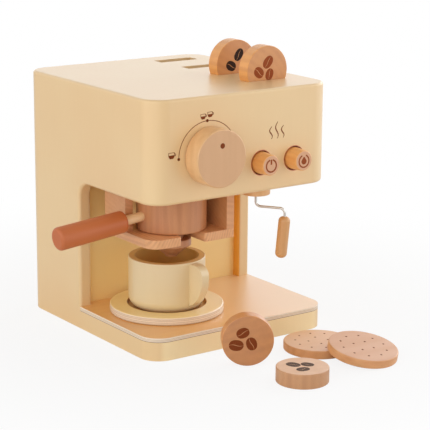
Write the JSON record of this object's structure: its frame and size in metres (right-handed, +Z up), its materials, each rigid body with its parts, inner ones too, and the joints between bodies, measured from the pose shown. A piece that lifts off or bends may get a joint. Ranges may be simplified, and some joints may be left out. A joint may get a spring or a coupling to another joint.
{
  "type": "toy coffee maker",
  "caption": "Wooden toy coffee maker with a turning dial, sprung buttons, sliding and swinging portafilter, steam wand, cup, saucer, bean discs and biscuits.",
  "frame": {"origin": "centre of the casing's underside, on the table", "axes": "+X to the user's right, +Y to the back of the casing, +Z up"},
  "size_m": [0.2485, 0.3377, 0.2567],
  "materials": {
    "cream_painted_wood": "satin cream paint",
    "birch_plywood": "clear lacquer",
    "beech": "clear lacquer",
    "pale_beech": "bare",
    "terracotta_painted_wood": "satin terracotta paint",
    "steel": "plain wire"
  },
  "bodies": {
    "casing": {"base_board": "cream_painted_wood", "base_ply_top": "birch_plywood", "left_side_panel": "cream_painted_wood", "right_side_panel": "cream_painted_wood", "front_fascia": "cream_painted_wood", "back_panel": "cream_painted_wood", "top_panel": "cream_painted_wood", "head_floor_panel": "cream_painted_wood", "inner_back_wall": "cream_painted_wood", "casing_dowels": "pale_beech", "bracket_shelf": "beech", "bracket_left_post": "beech", "bracket_right_post": "beech", "bracket_screws": "steel", "bracket_dowels": "pale_beech", "button_guide_block": "pale_beech", "guide_block_screws": "steel", "steam_wand_collar": "beech", "power_button_spring": "steel", "brew_button_spring": "steel"},
    "dial": {"dial_knob": "beech", "dial_shaft": "pale_beech", "dial_washer": "steel", "dial_screw": "steel"},
    "left_button": {"power_button": "beech", "power_button_pin": "pale_beech"},
    "right_button": {"brew_button": "beech", "brew_button_pin": "pale_beech"},
    "steam_wand": {"steam_wand_wire": "steel", "steam_wand_grip": "beech", "steam_wand_push_nut": "steel"},
    "spout": {"portafilter_spout": "beech", "spout_washer": "steel", "spout_screw": "steel"},
    "portafilter": {"portafilter_basket": "beech", "portafilter_neck": "pale_beech", "portafilter_grip": "terracotta_painted_wood"},
    "cup_saucer": {"saucer": "birch_plywood"},
    "cup": {"cup_body": "cream_painted_wood", "cup_ear": "cream_painted_wood"},
    "bean_disc_front": {"slot_disc_front": "beech"},
    "bean_disc_rear": {"slot_disc_rear": "beech"},
    "bean_disc_standing": {"standing_disc": "beech"},
    "bean_disc_lying": {"lying_disc": "beech"},
    "biscuit_flat": {"flat_biscuit": "beech"},
    "biscuit_leaning": {"leaning_biscuit": "beech"}
  },
  "joints": [
    {"name": "dial_turn", "type": "hinge", "parent": "casing", "child": "dial", "pos_m": [-0.0375, -0.106, 0.175], "axis": [0, 1, 0], "continuous": true},
    {"name": "power_button_press", "type": "slide", "parent": "casing", "child": "left_button", "axis": [0, 1, 0], "range_m": [0, 0.006], "stiffness_N_per_m": 150, "springref_m": -0.004, "deforming": ["power_button_spring"]},
    {"name": "brew_button_press", "type": "slide", "parent": "casing", "child": "right_button", "axis": [0, 1, 0], "range_m": [0, 0.006], "stiffness_N_per_m": 150, "springref_m": -0.004, "deforming": ["brew_button_spring"]},
    {"name": "steam_wand_swing", "type": "hinge", "parent": "casing", "child": "steam_wand", "pos_m": [0.0388, -0.0712, 0.125], "axis": [0, 0, 1], "range_deg": [-90, 150]},
    {"name": "portafilter_slide", "type": "slide", "parent": "casing", "child": "spout", "axis": [0, -1, 0], "range_m": [0, 0.06]},
    {"name": "portafilter_swing", "type": "hinge", "parent": "spout", "child": "portafilter", "pos_m": [-0.0364, -0.0473, 0.1], "axis": [0, 0, 1], "range_deg": [0, 120]},
    {"name": "saucer_slide", "type": "slide", "parent": "casing", "child": "cup_saucer", "axis": [0, -1, 0], "range_m": [0, 0.04]},
    {"name": "cup_turn", "type": "hinge", "parent": "cup_saucer", "child": "cup", "pos_m": [-0.0335, -0.0358, 0.0245], "axis": [0, 0, 1], "continuous": true},
    {"name": "front_disc_lift", "type": "slide", "parent": "casing", "child": "bean_disc_front", "axis": [0, 0, 1], "range_m": [0, 0.06]},
    {"name": "rear_disc_lift", "type": "slide", "parent": "casing", "child": "bean_disc_rear", "axis": [0, 0, 1], "range_m": [0, 0.06]},
    {"name": "standing_disc_lift", "type": "slide", "parent": "casing", "child": "bean_disc_standing", "axis": [0, 0, 1], "range_m": [0, 0.04]},
    {"name": "lying_disc_lift", "type": "slide", "parent": "casing", "child": "bean_disc_lying", "axis": [0, 0, 1], "range_m": [0, 0.06]},
    {"name": "flat_biscuit_slide", "type": "slide", "parent": "casing", "child": "biscuit_flat", "axis": [0.9558, 0.294, 0], "range_m": [0, 0.05]},
    {"name": "leaning_biscuit_lift", "type": "slide", "parent": "casing", "child": "biscuit_leaning", "axis": [0, 0, 1], "range_m": [0, 0.04]}
  ]
}
